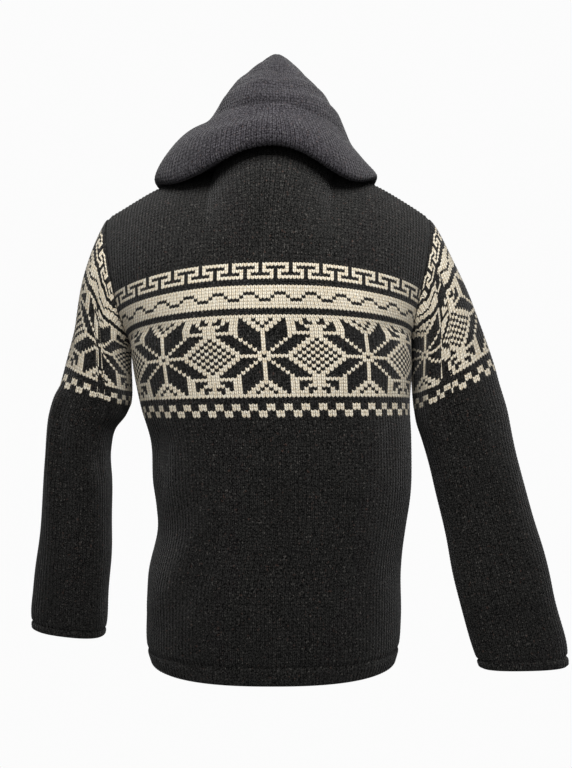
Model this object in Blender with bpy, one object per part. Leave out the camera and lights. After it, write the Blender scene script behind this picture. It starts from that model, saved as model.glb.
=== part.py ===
# Zip-up hoodie in chunky wool knit, in its worn shape with nobody inside.
# Metres, +Z up. The front faces -Y, the wearer's left is +X, and the origin is at the base of the neck.

import math

import bmesh
import bpy
import numpy as np

for old in list(bpy.data.objects):
    bpy.data.objects.remove(old, do_unlink=True)

# Main sizes
WALL = 0.004  # chunky wool, two strands thick
SEAM_GAP = 0.0003  # between two pieces that are sewn together
ROW = 0.0044  # one knitted row, top to bottom
BAND_TOP = -0.151  # height of the first patterned row at the centre back
ARMPIT = -0.240  # height at the centre back of the row that meets the armpit
ZIP_OPENING = 0.009  # from the middle of the zip to the edge of a front panel

# The torso, from the hem to the top of the pattern. Widths and depths are from its middle line, and "droop"
# is how much lower a row is at the side than at the centre. "gape" is how far the armhole stands open on each
# side of the shoulder line, "wrap" how far round the side the panel goes, in degrees, and "shift" how far the
# ring stands to the wearer's left.
TORSO_COLUMNS = ("height", "width", "back", "front", "gape", "wrap", "square", "droop", "shift")
TORSO = (
    (-0.7150, 0.1780, 0.1270, 0.118, 0.000, 90, 2.4, 0.004, 0.000),
    (-0.6900, 0.1840, 0.1280, 0.118, 0.000, 90, 2.5, 0.004, 0.000),
    (-0.6500, 0.1870, 0.1280, 0.119, 0.000, 90, 2.5, 0.003, -0.001),
    (-0.5900, 0.1865, 0.1260, 0.119, 0.000, 90, 2.5, 0.002, -0.001),
    (-0.5200, 0.1830, 0.1250, 0.118, 0.000, 90, 2.5, 0.001, -0.012),
    (-0.4550, 0.1910, 0.1300, 0.121, 0.000, 90, 2.5, 0.000, -0.013),
    (-0.3900, 0.1935, 0.1350, 0.126, 0.000, 90, 2.5, 0.000, -0.011),
    (-0.3400, 0.1990, 0.1380, 0.130, 0.000, 90, 2.5, 0.003, -0.004),
    (-0.2950, 0.2040, 0.1390, 0.132, 0.000, 90, 2.5, 0.009, 0.000),
    (-0.2400, 0.2080, 0.1395, 0.131, 0.000, 90, 2.5, 0.016, 0.004),
    (-0.2150, 0.2110, 0.1395, 0.129, 0.034, 78, 2.5, 0.020, 0.006),
    (-0.1850, 0.2160, 0.1390, 0.126, 0.053, 68, 2.4, 0.024, 0.008),
    (-0.1510, 0.2220, 0.1360, 0.122, 0.060, 60, 2.3, 0.028, 0.008),
)
BANDS_TILT = 0.012  # the pattern rises a little towards the wearer's right, as a slope

# Shoulders and neck
SHOULDER_TIP = (0.244, -0.004, -0.059)
SHOULDER_ROUND = 1.35  # 1 is a straight shoulder line
NECK_SHARE = 0.36  # the part of a half panel's width that ends at the neck

# The hood, as rings from the neck seam up to the sewn top. "left" and "right" are its half widths, and the
# columns that start with "front" say where its face edge is. "sag" is how far a ring hangs between back and side.
HOOD_COLUMNS = (
    "level", "left", "right", "back", "side", "front_x", "front_y", "z_back", "z_side", "z_front", "arch", "sag", "lean",
    "right_up",
)
HOOD = (
    (0.00, 0.088, 0.088, 0.075, 0.000, 0.009, -0.095, 0.030, 0.016, -0.075, 2.0, 0.000, 0.000, 0.000),
    (0.10, 0.128, 0.118, 0.101, 0.000, 0.040, -0.118, 0.026, 0.013, -0.060, 3.0, 0.008, 0.000, 0.003),
    (0.18, 0.168, 0.146, 0.119, 0.000, 0.090, -0.128, 0.013, -0.008, -0.042, 4.0, 0.020, 0.000, 0.008),
    (0.26, 0.180, 0.155, 0.128, 0.002, 0.120, -0.112, 0.024, -0.003, -0.016, 4.0, 0.020, 0.000, 0.007),
    (0.35, 0.168, 0.136, 0.127, 0.004, 0.126, -0.104, 0.044, 0.022, 0.010, 3.0, 0.008, 0.000, 0.003),
    (0.45, 0.138, 0.116, 0.115, 0.004, 0.108, -0.106, 0.063, 0.053, 0.035, 2.0, 0.000, 0.000, 0.000),
    (0.54, 0.104, 0.104, 0.110, 0.002, 0.090, -0.108, 0.082, 0.075, 0.058, 2.0, 0.000, 0.000, 0.000),
    (0.64, 0.085, 0.093, 0.102, 0.000, 0.074, -0.110, 0.102, 0.098, 0.080, 2.0, 0.000, 0.000, 0.000),
    (0.74, 0.073, 0.081, 0.090, -0.004, 0.058, -0.109, 0.122, 0.119, 0.100, 2.0, 0.000, 0.000, 0.000),
    (0.84, 0.061, 0.063, 0.076, -0.010, 0.042, -0.107, 0.142, 0.139, 0.117, 2.0, 0.000, -0.002, 0.000),
    (0.92, 0.046, 0.044, 0.062, -0.018, 0.026, -0.104, 0.158, 0.154, 0.128, 2.0, 0.000, -0.003, 0.000),
    (0.97, 0.026, 0.025, 0.054, -0.023, 0.012, -0.103, 0.168, 0.161, 0.134, 2.0, 0.000, -0.004, 0.000),
    (1.00, 0.000, 0.000, 0.050, -0.026, 0.000, -0.102, 0.171, 0.163, 0.136, 2.0, 0.000, -0.005, 0.000),
)
HOOD_TURN = 132  # degrees round from the centre back to the face edge

# The sleeves below the pattern, from rails seen from behind. "row" counts knitted rows from the top of the
# pattern, the outer and inner rails are the two sides, "depth" is the half depth and "middle" its place in Y.
SLEEVE_COLUMNS = ("row", "outer_x", "outer_z", "inner_x", "inner_z", "depth", "middle")
SLEEVE_LEFT = (
    (47, 0.3185, -0.3122, 0.2219, -0.3411, 0.058, 0.000),
    (52, 0.3276, -0.3297, 0.2304, -0.3591, 0.055, -0.002),
    (58, 0.3337, -0.3534, 0.2455, -0.3791, 0.052, -0.005),
    (66, 0.3398, -0.3863, 0.2520, -0.4106, 0.049, -0.009),
    (78, 0.3486, -0.4357, 0.2520, -0.4593, 0.046, -0.015),
    (92, 0.3550, -0.4948, 0.2545, -0.5168, 0.043, -0.022),
    (108, 0.3634, -0.5630, 0.2573, -0.5833, 0.039, -0.030),
    (122, 0.3720, -0.6235, 0.2614, -0.6423, 0.035, -0.037),
    (131, 0.3775, -0.6627, 0.2639, -0.6806, 0.032, -0.041),
    (139, 0.3765, -0.6910, 0.2690, -0.7055, 0.030, -0.045),
)
SLEEVE_RIGHT = (
    (47, 0.3320, -0.2881, 0.2139, -0.3471, 0.056, 0.005),
    (52, 0.3384, -0.3125, 0.2173, -0.3690, 0.052, 0.007),
    (58, 0.3456, -0.3418, 0.2250, -0.3939, 0.047, 0.010),
    (66, 0.3528, -0.3812, 0.2340, -0.4277, 0.042, 0.013),
    (78, 0.3660, -0.4395, 0.2450, -0.4784, 0.036, 0.018),
    (92, 0.3822, -0.5057, 0.2555, -0.5377, 0.030, 0.025),
    (108, 0.4005, -0.5809, 0.2680, -0.6045, 0.026, 0.032),
    (122, 0.4142, -0.6464, 0.2815, -0.6611, 0.023, 0.038),
    (131, 0.4230, -0.6877, 0.2910, -0.6970, 0.021, 0.042),
    (139, 0.4225, -0.7170, 0.2990, -0.7210, 0.020, 0.045),
)
SLEEVE_FLATNESS = 2.4  # 2 is an ellipse
SPREAD = {"sleeve_left": 0.20, "sleeve_right": 0.04}  # how much steeper the cap leaves at its top than at its sides

# The largest folds of the back, between two places in (x, z). A height below 0 is a trough.
BACK_FOLD_COLUMNS = ("x_from", "z_from", "x_to", "z_to", "height", "breadth")
BACK_FOLDS = (
    (0.150, -0.385, 0.160, -0.475, -0.0045, 0.012),
    (0.078, -0.480, 0.148, -0.595, 0.0045, 0.020),
    (0.148, -0.595, 0.165, -0.640, 0.0030, 0.016),
    (-0.120, -0.500, -0.150, -0.620, 0.0030, 0.022),
)
# The largest folds of the sleeves, by row and by degrees round from the outer side over the back
SLEEVE_FOLD_COLUMNS = ("row_from", "angle_from", "row_to", "angle_to", "height", "breadth")
LEFT_FOLDS = (
    (50, 42, 96, 62, 0.0050, 14),
    (54, 66, 88, 88, -0.0040, 14),
    (8, 96, 58, 118, -0.0050, 14),
    (112, 60, 121, 120, 0.0025, 12),
)
RIGHT_FOLDS = (
    (4, 92, 60, 118, -0.0080, 14),
    (14, 122, 66, 140, 0.0050, 14),
    (114, 30, 117, 150, 0.0030, 12),
    (66, 100, 104, 84, -0.0035, 14),
)
# Folds across the back of the hood, by degrees round and by level
HOOD_FOLD_COLUMNS = ("angle_from", "level_from", "angle_to", "level_to", "height", "breadth")
HOOD_FOLDS = (
    (55, 0.50, -60, 0.44, -0.0070, 6),
    (50, 0.60, 5, 0.66, 0.0050, 6),
    (40, 0.82, -50, 0.78, -0.0050, 6),
)

# The zip, whose slider is at the top of the closed chain
TAPE_WIDTH = 0.0135
TAPE_THICKNESS = 0.0012
TAPE_BEHIND = 0.0015  # behind the cloth it is sewn to
TAPE_EASE = 0.0016  # how much further in it lies at the neck, where the cloth turns back
CHAIN_WIDTH = 0.0056
CHAIN_THICKNESS = 0.0024
SLIDER_HEIGHT = -0.100
SLIDER_WIDTH = 0.0100
SLIDER_LENGTH = 0.0130
PLATE = 0.0012  # the slider's two plates
BRIDGE_WIDTH = 0.0026
BRIDGE_HOLE = (0.0028, 0.0036)  # out from the plate, and up
BRIDGE_METAL = 0.0011
TAB_WIDTH = 0.0076
TAB_LENGTH = 0.0290
TAB_THICKNESS = 0.0014
TAB_HOLE = (0.0042, 0.0058)
TAB_LEAN = 6.0  # degrees that the tab leans out from the zip, which it lies on
BAR_UP = 1.2  # millimetres from the slider's middle up to the tab's bar

# How finely the pieces are cut into faces
COLUMNS_NECK = 6  # on each side of the centre back, and as many on each front
COLUMNS_SHOULDER = 7
ROWS_BODY = 13  # hem to armpit
ROWS_ARMHOLE = 3
ROWS_YOKE = 7
ROWS_CAP = 7
ROWS_SLEEVE = 15
ROWS_HOOD = 17


# Curves through a table
def smooth_column(positions, values, at):
    """A cubic through the values, whose slope at each is that between its neighbours."""
    x = np.asarray(positions, float)
    y = np.asarray(values, float)
    slope = np.gradient(y, x)
    at = np.clip(np.asarray(at, float), x[0], x[-1])
    i = np.clip(np.searchsorted(x, at, side="right") - 1, 0, len(x) - 2)
    span = x[i + 1] - x[i]
    t = (at - x[i]) / span
    start = (1 + 2 * t) * (1 - t) ** 2 * y[i] + t * (1 - t) ** 2 * span * slope[i]
    return start + t**2 * (3 - 2 * t) * y[i + 1] + t**2 * (t - 1) * span * slope[i + 1]


def table_at(table, columns, at):
    """Each column of a table, read at the given values of its first one."""
    rows = np.array(table, float)
    return {name: smooth_column(rows[:, 0], rows[:, i], at) for i, name in enumerate(columns)}


def smoothstep(low, high, x):
    t = np.clip((x - low) / (high - low), 0, 1)
    return t * t * (3 - 2 * t)


def between(start, leave, end, arrive, t):
    """A cubic from start to end that sets out along leave and comes in along arrive."""
    t = t[..., None]
    a = (1 + 2 * t) * (1 - t) ** 2 * start + t * (1 - t) ** 2 * leave
    return a + t**2 * (3 - 2 * t) * end + t**2 * (t - 1) * arrive


# The body panels
def panel_low(side, across, height):
    """Points of a panel up to the top of the pattern, as a grid with a row for each height. across is 0 at the
    centre and 1 at the panel's edge, and side is 1 for the back and -1 for the front."""
    row = table_at(TORSO, TORSO_COLUMNS, height)
    row["gape"] = np.maximum(row["gape"], 0)
    row["wrap"] = np.minimum(row["wrap"], 90)
    depth = row["back"] if side > 0 else row["front"]
    points = np.zeros((len(height), across.shape[-1], 3))
    for i, level in enumerate(height):
        turn = math.radians(row["wrap"][i])
        power = 2 / row["square"][i]
        angle = np.linspace(0, 1, 500) * turn
        x = np.sin(angle) ** power / math.sin(turn) ** power
        y = np.abs(np.cos(angle)) ** power
        y = (y - y[-1]) / (1 - y[-1])
        x = x * row["width"][i]
        y = row["gape"][i] + (depth[i] - row["gape"][i]) * y
        length = np.concatenate([[0], np.cumsum(np.hypot(np.diff(x), np.diff(y)))])
        share = np.abs(across[i]) * length[-1]
        points[i, :, 0] = np.interp(share, length, x) * np.sign(across[i])
        points[i, :, 1] = np.interp(share, length, y) * side
        points[i, :, 2] = level - row["droop"][i] * np.abs(across[i]) ** 2.2
    shift = row["shift"][:, None]
    if side < 0:
        opening = ZIP_OPENING * np.where(across >= 0, 1, -1)
        points[..., 0] = opening + points[..., 0] * (1 - ZIP_OPENING / row["width"][:, None])
        shift = shift * np.abs(across)
    points[..., 0] += shift
    points[..., 2] -= BANDS_TILT * points[..., 0] * smoothstep(-0.45, -0.33, np.asarray(height))[:, None]
    return points


def panel_top(side, across):
    """The panel's upper edge: the neck in the middle and a shoulder seam on each side."""
    size = np.abs(across)
    part = np.minimum(size / NECK_SHARE, 1)
    turn = 90 * part if side > 0 else 90 + (HOOD_TURN - 90) * (1 - part)
    neck = hood_ring(turn, np.zeros(turn.shape))
    corner = hood_ring(np.array([90.0]), np.array([0.0]))[0]
    share = np.clip((size - NECK_SHARE) / (1 - NECK_SHARE), 0, 1)
    power = np.stack([share, share, share**SHOULDER_ROUND], axis=-1)
    shoulder = corner + (np.array(SHOULDER_TIP) - corner) * power
    point = np.where((size < NECK_SHARE)[..., None], neck, shoulder)
    point[..., 0] *= np.where(across < 0, -1, 1)
    point[..., 0] += TORSO[-1][-1] * share
    return point


def panel(side, across, rise):
    """A body panel, as a grid. rise goes from 0 at the hem to 1 at the top of the pattern and 2 at the
    shoulders and neck, and across from -1 to 1 with the wearer's left as 1."""
    across = np.broadcast_to(across, (len(rise), across.shape[-1]))
    hem = TORSO[0][0]
    low = panel_low(side, across, hem + (BAND_TOP - hem) * np.minimum(rise, 1))
    start = panel_low(side, across[:1], np.array([BAND_TOP]))
    below = panel_low(side, across[:1], np.array([BAND_TOP - 0.004]))
    end = panel_top(side, across[:1])
    length = np.linalg.norm(end - start, axis=-1, keepdims=True)
    leave = (start - below) / 0.004 * length * 1.15
    over = smoothstep(0.1, 0.75, np.abs(across[:1]))[..., None]
    arrive = np.concatenate([0 * over, -side * (0.80 + 0.15 * over), 0.65 * (1 - over)], axis=-1) * length
    t = np.clip(np.asarray(rise) - 1, 0, 1)[:, None] + 0 * across
    yoke = between(start, leave, end, arrive, t)
    return np.where((np.asarray(rise) > 1)[:, None, None], yoke, low)


def armhole_rise(share):
    """The rise on a panel's edge at a share of the way down from the shoulder tip to the armpit."""
    hem = TORSO[0][0]
    armpit = (ARMPIT - hem) / (BAND_TOP - hem)
    yoke = ROWS_YOKE / (ROWS_YOKE + ROWS_ARMHOLE)
    share = np.asarray(share, float)
    return np.where(share < yoke, 2 - share / yoke, 1 - (1 - armpit) * (share - yoke) / (1 - yoke))


# The hood
def hood_ring(angle, level):
    """Points of the hood at an angle from the centre back, in degrees, positive on the wearer's left."""
    angle, level = np.broadcast_arrays(np.asarray(angle, float), np.asarray(level, float))
    ring = table_at(HOOD, HOOD_COLUMNS, level)
    width = np.where(angle >= 0, ring["left"], ring["right"])
    size = np.abs(angle)
    turn = np.radians(np.minimum(size, 90))
    x = width * np.sin(turn)
    y = ring["side"] + (ring["back"] - ring["side"]) * np.cos(turn)
    z = ring["z_side"] + (ring["z_back"] - ring["z_side"]) * np.cos(turn) ** ring["arch"]
    z = z - ring["sag"] * np.sin(2 * turn) ** 2
    t = np.clip((size - 90) / (HOOD_TURN - 90), 0, 1)
    on = np.radians(90 * t)
    x = np.where(t > 0, width + (ring["front_x"] - width) * (1 - np.cos(on)), x)
    y = np.where(t > 0, ring["side"] + (ring["front_y"] - ring["side"]) * np.sin(on), y)
    z = np.where(t > 0, ring["z_side"] + (ring["z_front"] - ring["z_side"]) * (0.2 * t + 0.8 * t**2), z)
    z = z + np.where(angle < 0, ring["right_up"], 0) * smoothstep(30, 90, size)
    return np.stack([np.where(angle >= 0, x, -x) + ring["lean"], y, z], axis=-1)


# The sleeves, worked out as left ones and mirrored for the right
def sleeve_section(table, angle, row):
    """Points of a sleeve below its cap. The angle goes round from the outer side over the back, in degrees."""
    angle, row = np.broadcast_arrays(np.asarray(angle, float), np.asarray(row, float))
    at = table_at(table, SLEEVE_COLUMNS, row)
    outer = np.stack([at["outer_x"], at["middle"], at["outer_z"]], axis=-1)
    inner = np.stack([at["inner_x"], at["middle"], at["inner_z"]], axis=-1)
    turn = np.radians(angle)
    along = np.sign(np.cos(turn)) * np.abs(np.cos(turn)) ** (2 / SLEEVE_FLATNESS)
    deep = np.sign(np.sin(turn)) * np.abs(np.sin(turn)) ** (2 / SLEEVE_FLATNESS)
    point = (outer + inner) / 2 + (outer - inner) / 2 * along[..., None]
    point[..., 1] += at["depth"] * deep
    return point


def sleeve(table, spread, hole, angle, share):
    """A sleeve as a grid, with a row for each share: 0 at the armhole, 1 at the foot of the pattern and 2 at
    the cuff. hole holds the armhole's points at the same angles, and spread turns the cap down at its top."""
    foot, last = table[0][0], table[-1][0]
    share = np.asarray(share, float)[:, None]
    low = sleeve_section(table, angle, foot + (last - foot) * np.clip(share - 1, 0, 1))
    end = sleeve_section(table, angle, float(foot))
    below = sleeve_section(table, angle, foot + 1.0)
    length = np.linalg.norm(end - hole, axis=-1, keepdims=True)
    turn = np.radians(angle)
    up = np.cos(turn)
    leave = np.stack([0.64 - spread * up, 0.42 * np.sin(turn), -0.66 - 0.20 * np.maximum(up, 0)], axis=-1)
    leave = leave / np.linalg.norm(leave, axis=-1, keepdims=True) * length * 0.7
    arrive = (below - end) / np.linalg.norm(below - end, axis=-1, keepdims=True) + 2 * (end - hole) / length
    arrive[..., 2] -= 6 * spread * np.maximum(up, 0)
    arrive = arrive / np.linalg.norm(arrive, axis=-1, keepdims=True) * length
    cap = between(hole, leave, end, arrive, np.clip(share, 0, 1) + 0 * angle)
    return np.where((share > 1)[..., None], low, cap)


# Folds
def near_line(u, v, line, breadth):
    """1 on the line between two places and 0 far from it, easing off past its ends."""
    u0, v0, u1, v1 = line
    du, dv = u1 - u0, v1 - v0
    t = ((u - u0) * du + (v - v0) * dv) / (du * du + dv * dv)
    distance = np.hypot(u - u0 - t * du, v - v0 - t * dv)
    ends = smoothstep(-0.3, 0.2, t) * (1 - smoothstep(0.8, 1.3, t))
    return np.exp(-((distance / breadth) ** 2)) * ends


def relief(folds, u, v, v_scale=1.0):
    """The height of all the folds at (u, v). v_scale makes one unit of v as long as one of u."""
    total = np.zeros(np.shape(u))
    for u0, v0, u1, v1, height, breadth in folds:
        total = total + height * near_line(u, v * v_scale, (u0, v0 * v_scale, u1, v1 * v_scale), breadth)
    return total


# Grids of points into closed walls. The end walls of two pieces that are sewn together are split the same way,
# by which corner lies further along this direction.
SPLIT = np.array([0.0, 0.37, 1.0])


def grid_normals(points, tube=False, join=False):
    """Directions out of a grid, from the differences between neighbours, outward for a left-to-right grid."""
    if tube:
        wrapped = np.concatenate([points[:, -1:], points, points[:, :1]], axis=1)
        along = (wrapped[:, 2:] - wrapped[:, :-2]) / 2
    else:
        along = np.gradient(points, axis=1)
    up = np.gradient(points, axis=0)
    if join:
        up[-1] = points[-1] - points[-2]
        along[-1] = along[-2]
    normal = np.cross(along, up)
    return normal / np.maximum(np.linalg.norm(normal, axis=-1, keepdims=True), 1e-12)


def share_normals(grids, normals):
    """Makes pieces that meet at a point use one direction there. The body panels count as one piece."""
    for body in (True, False):
        found = {}
        for name, points in grids.items():
            if body and not name.startswith(("back", "front")):
                continue
            flat = np.round(points.reshape(-1, 3), 6) + 0.0
            for place, direction in zip(map(tuple, flat), normals[name].reshape(-1, 3)):
                group = "body" if name.startswith(("back", "front")) else name
                found.setdefault(place, {}).setdefault(group, []).append(direction.copy())
        for name, points in grids.items():
            if body and not name.startswith(("back", "front")):
                continue
            flat = np.round(points.reshape(-1, 3), 6) + 0.0
            out = normals[name].reshape(-1, 3)
            for i, place in enumerate(map(tuple, flat)):
                groups = found[place]
                total = sum(np.mean(listed, axis=0) for listed in groups.values())
                out[i] = total / np.linalg.norm(total)
            normals[name] = out.reshape(points.shape)
    return normals


def pulled_back(points, edges, gap):
    """Moves the named edges of a grid in from the seam by its part of the gap."""
    points = points.copy()
    moves = {
        "first_column": (np.s_[:, 0], np.s_[:, 1]),
        "last_column": (np.s_[:, -1], np.s_[:, -2]),
        "first_row": (np.s_[0], np.s_[1]),
        "last_row": (np.s_[-1], np.s_[-2]),
    }
    for edge in edges:
        there, inside = moves[edge]
        step = points[inside] - points[there]
        points[there] += step / np.linalg.norm(step, axis=-1, keepdims=True) * gap
    return points


def closed_wall(name, outer, inner, material, flip, tube=False, join=False):
    """One closed mesh between two grids of points. A joined grid's last row folds onto itself at its middle."""
    rows, columns = outer.shape[:2]
    index = np.arange(rows * columns).reshape(rows, columns)
    if join:
        half = columns // 2
        index[-1, half + 1 :] = index[-1, half - 1 :: -1]
    if tube:
        index = np.concatenate([index, index[:, :1]], axis=1)
    count = rows * columns
    wide = index.shape[1]
    faces = []
    for i in range(rows - 1):
        for j in range(wide - 1):
            quad = [index[i, j], index[i, j + 1], index[i + 1, j + 1], index[i + 1, j]]
            faces.append(quad)
            faces.append([corner + count for corner in reversed(quad)])
    rim = [(index[0, j + 1], index[0, j]) for j in range(wide - 1)]
    if not join:
        rim += [(index[-1, j], index[-1, j + 1]) for j in range(wide - 1)]
    if not tube:
        rim += [(index[i, 0], index[i + 1, 0]) for i in range(rows - 1)]
        rim += [(index[i + 1, -1], index[i, -1]) for i in range(rows - 1)]
    points = np.concatenate([outer.reshape(-1, 3), inner.reshape(-1, 3)])
    for a, b in rim:
        if points[a] @ SPLIT > points[b] @ SPLIT:
            faces += [[a, b, b + count], [a, b + count, a + count]]
        else:
            faces += [[a, b, a + count], [b, b + count, a + count]]
    if flip:
        faces = [face[::-1] for face in faces]
    return mesh_object(name, points, faces, material)


def mesh_object(name, points, faces, material, location=(0, 0, 0)):
    """An object from points and faces, leaving out unused points and faces that have shrunk to a line."""
    tidy = []
    for face in faces:
        short = [corner for k, corner in enumerate(face) if corner != face[k - 1]]
        if len(short) >= 3:
            tidy.append(short)
    used = sorted({corner for face in tidy for corner in face})
    new = {corner: k for k, corner in enumerate(used)}
    mesh = bpy.data.meshes.new(name)
    mesh.from_pydata([tuple(points[i]) for i in used], [], [[new[i] for i in face] for face in tidy])
    mesh.update()
    mesh.materials.append(material)
    thing = bpy.data.objects.new(name, mesh)
    thing.location = location
    hoodie.objects.link(thing)
    return thing


def new_material(name, colour, roughness, metallic=0.0):
    material = bpy.data.materials.new(name)
    material.use_nodes = True
    shader = material.node_tree.nodes["Principled BSDF"]
    shader.inputs["Base Color"].default_value = (*colour, 1)
    shader.inputs["Roughness"].default_value = roughness
    shader.inputs["Metallic"].default_value = metallic
    material.diffuse_color = (*colour, 1)
    return material


hoodie = bpy.data.collections.new("Zip hoodie")
bpy.context.scene.collection.children.link(hoodie)
wool = new_material("wool", (0.030, 0.030, 0.032), 0.95)
tape_cloth = new_material("zip tape", (0.012, 0.012, 0.013), 0.8)
zip_metal = new_material("zip metal", (0.55, 0.54, 0.52), 0.35, 1.0)

# Where the grids have their rows and columns. Pieces that are sewn together share these along the seam.
armpit_rise = (ARMPIT - TORSO[0][0]) / (BAND_TOP - TORSO[0][0])
armhole_shares = np.linspace(0, 1, ROWS_YOKE + ROWS_ARMHOLE + 1)
rises = np.concatenate([np.linspace(0, armpit_rise, ROWS_BODY + 1)[:-1], armhole_rise(armhole_shares[::-1])])
neck_part = NECK_SHARE * np.linspace(0, 1, COLUMNS_NECK + 1)
shoulder_part = np.linspace(NECK_SHARE, 1, COLUMNS_SHOULDER + 1)
half = np.concatenate([neck_part[:-1], shoulder_part])

grids = {}
grids["back"] = panel(1, np.concatenate([-half[:0:-1], half]), rises)
grids["front_left"] = panel(-1, half, rises)
grids["front_right"] = panel(-1, -half[::-1] - 1e-12, rises)

# The armhole's points, round from the shoulder tip over the back
rows_down = len(rises) - 1 - np.arange(len(armhole_shares))
angles = 180 * armhole_shares
angles = np.concatenate([angles, 360 - angles[-2:0:-1]])
share_down = np.concatenate([np.linspace(0, 1, ROWS_CAP + 1), np.linspace(1, 2, ROWS_SLEEVE + 1)[1:]])
mirror = np.array([-1.0, 1.0, 1.0])
for name, table, folds, edge, front, sign in (
    ("sleeve_left", SLEEVE_LEFT, LEFT_FOLDS, -1, "front_left", 1),
    ("sleeve_right", SLEEVE_RIGHT, RIGHT_FOLDS, 0, "front_right", -1),
):
    behind = grids["back"][rows_down, edge]
    before = grids[front][rows_down, -1 if sign > 0 else 0]
    hole = np.concatenate([behind, before[-2:0:-1]])
    hole = hole * mirror if sign < 0 else hole
    points = sleeve(table, SPREAD[name], hole, angles, share_down)
    grids[name] = points * mirror if sign < 0 else points

# The hood's columns are those of the neck edges of the three panels
levels = np.linspace(0, 1, ROWS_HOOD + 1)
turns = 90 * neck_part / NECK_SHARE
turns = np.concatenate([turns, 90 + (HOOD_TURN - 90) * neck_part[1:] / NECK_SHARE])
turns = np.concatenate([-turns[:0:-1], turns])
grids["hood"] = hood_ring(turns[None, :] + np.zeros((len(levels), 1)), levels[:, None] + 0 * turns[None, :])

# Whether a grid's columns and rows turn outward, and which of its edges are sewn
OUTWARD = {"back": -1, "front_left": 1, "front_right": 1, "sleeve_left": -1, "sleeve_right": 1, "hood": -1}
SEAMS = {
    "back": ("first_column", "last_column", "last_row"),
    "front_left": ("last_column", "last_row"),
    "front_right": ("first_column", "last_row"),
    "sleeve_left": ("first_row",),
    "sleeve_right": ("first_row",),
    "hood": ("first_row",),
}


def outward_normals(name, points):
    return OUTWARD[name] * grid_normals(points, tube=name.startswith("sleeve"), join=name == "hood")


# Folds, which ease off at the seams
side_fade = 1 - smoothstep(0.9, 1.0, np.abs(np.concatenate([-half[:0:-1], half])))
heights = {"back": relief(BACK_FOLDS, grids["back"][..., 0], grids["back"][..., 2]) * side_fade}
sleeve_rows = np.interp(share_down, [0, 1, 2], [0, SLEEVE_LEFT[0][0], SLEEVE_LEFT[-1][0]])[:, None]
cap_fade = smoothstep(0, 0.3, share_down)[:, None]
for name, folds in (("sleeve_left", LEFT_FOLDS), ("sleeve_right", RIGHT_FOLDS)):
    swapped = [(a0, r0, a1, r1, height, breadth) for r0, a0, r1, a1, height, breadth in folds]
    heights[name] = relief(swapped, angles + 0 * sleeve_rows, sleeve_rows + 0 * angles, 1.6) * cap_fade
hood_turns = turns + 0 * levels[:, None]
hood_fade = smoothstep(0, 0.15, levels) * (1 - smoothstep(0.85, 1, levels))
heights["hood"] = relief(HOOD_FOLDS, hood_turns, levels[:, None] + 0 * hood_turns, 120) * hood_fade[:, None]
for name, height in heights.items():
    grids[name] = grids[name] + outward_normals(name, grids[name]) * height[..., None]

# The cloth pieces
normals = {name: outward_normals(name, points) for name, points in grids.items()}
normals = share_normals(grids, normals)
ease = {name: SEAM_GAP if name.startswith("sleeve") else SEAM_GAP / 2 for name in grids}
outer = {name: pulled_back(points, SEAMS[name], ease[name]) for name, points in grids.items()}
inner = {name: outer[name] - WALL * normals[name] for name in grids}
for name in grids:
    closed_wall(name, outer[name], inner[name], wool, OUTWARD[name] < 0, name.startswith("sleeve"), name == "hood")


# The zip lies behind the front edges. Its line is the inner edge of the left front, and its strips are made
# from the panel's inner points, moved in.
edge = inner["front_left"][:, 0]
toward = inner["front_left"][:, 1] - edge
zip_up = np.gradient(edge, axis=0)
zip_up[:, 0] = 0
zip_up /= np.linalg.norm(zip_up, axis=-1, keepdims=True)
zip_out = np.cross(np.array([1.0, 0, 0]), zip_up)
neck_ease = TAPE_EASE * smoothstep(-0.100, -0.085, edge[:, 2])


def on_zip(values, height):
    """One of the zip's arrays, read at a height."""
    return np.array([np.interp(height, edge[:, 2], values[:, i]) for i in range(3)])


def strip(name, x_from, x_to, front, back, material, top=None, sign=1):
    """A strip along the zip, between two distances across and two distances in from the panels' inner face."""
    corners = []
    for x, depth in ((x_from, front), (x_to, front), (x_to, back), (x_from, back)):
        share = np.maximum((x - edge[:, 0]) / toward[:, 0], 0)
        line = edge + toward * share[:, None] - zip_out * (depth + neck_ease[:, None])
        line[:, 0] = x * sign
        if top is not None:
            below = edge[:, 2] < top - 0.002
            end = on_zip(edge - zip_out * (depth + neck_ease[:, None]), top)
            end[0] = x * sign
            line = np.concatenate([line[below], end[None]])
        corners.append(line)
    points = np.stack(corners, axis=1)
    index = np.arange(points.shape[0] * 4).reshape(-1, 4)
    faces = []
    for i in range(len(points) - 1):
        for j in range(4):
            k = (j + 1) % 4
            faces.append([index[i, j], index[i, k], index[i + 1, k], index[i + 1, j]])
    faces.append(list(index[0, ::-1]))
    faces.append(list(index[-1]))
    if sign < 0:
        faces = [face[::-1] for face in faces]
    return mesh_object(name, points.reshape(-1, 3), faces, material)


def box_mesh(low, high):
    """A box between two corners, in millimetres."""
    box = bmesh.new()
    bmesh.ops.create_cube(box, size=1)
    for vertex in box.verts:
        for i in range(3):
            vertex.co[i] = (low[i] if vertex.co[i] < 0 else high[i]) / 1000
    mesh = bpy.data.meshes.new("box")
    box.to_mesh(mesh)
    box.free()
    return mesh


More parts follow.
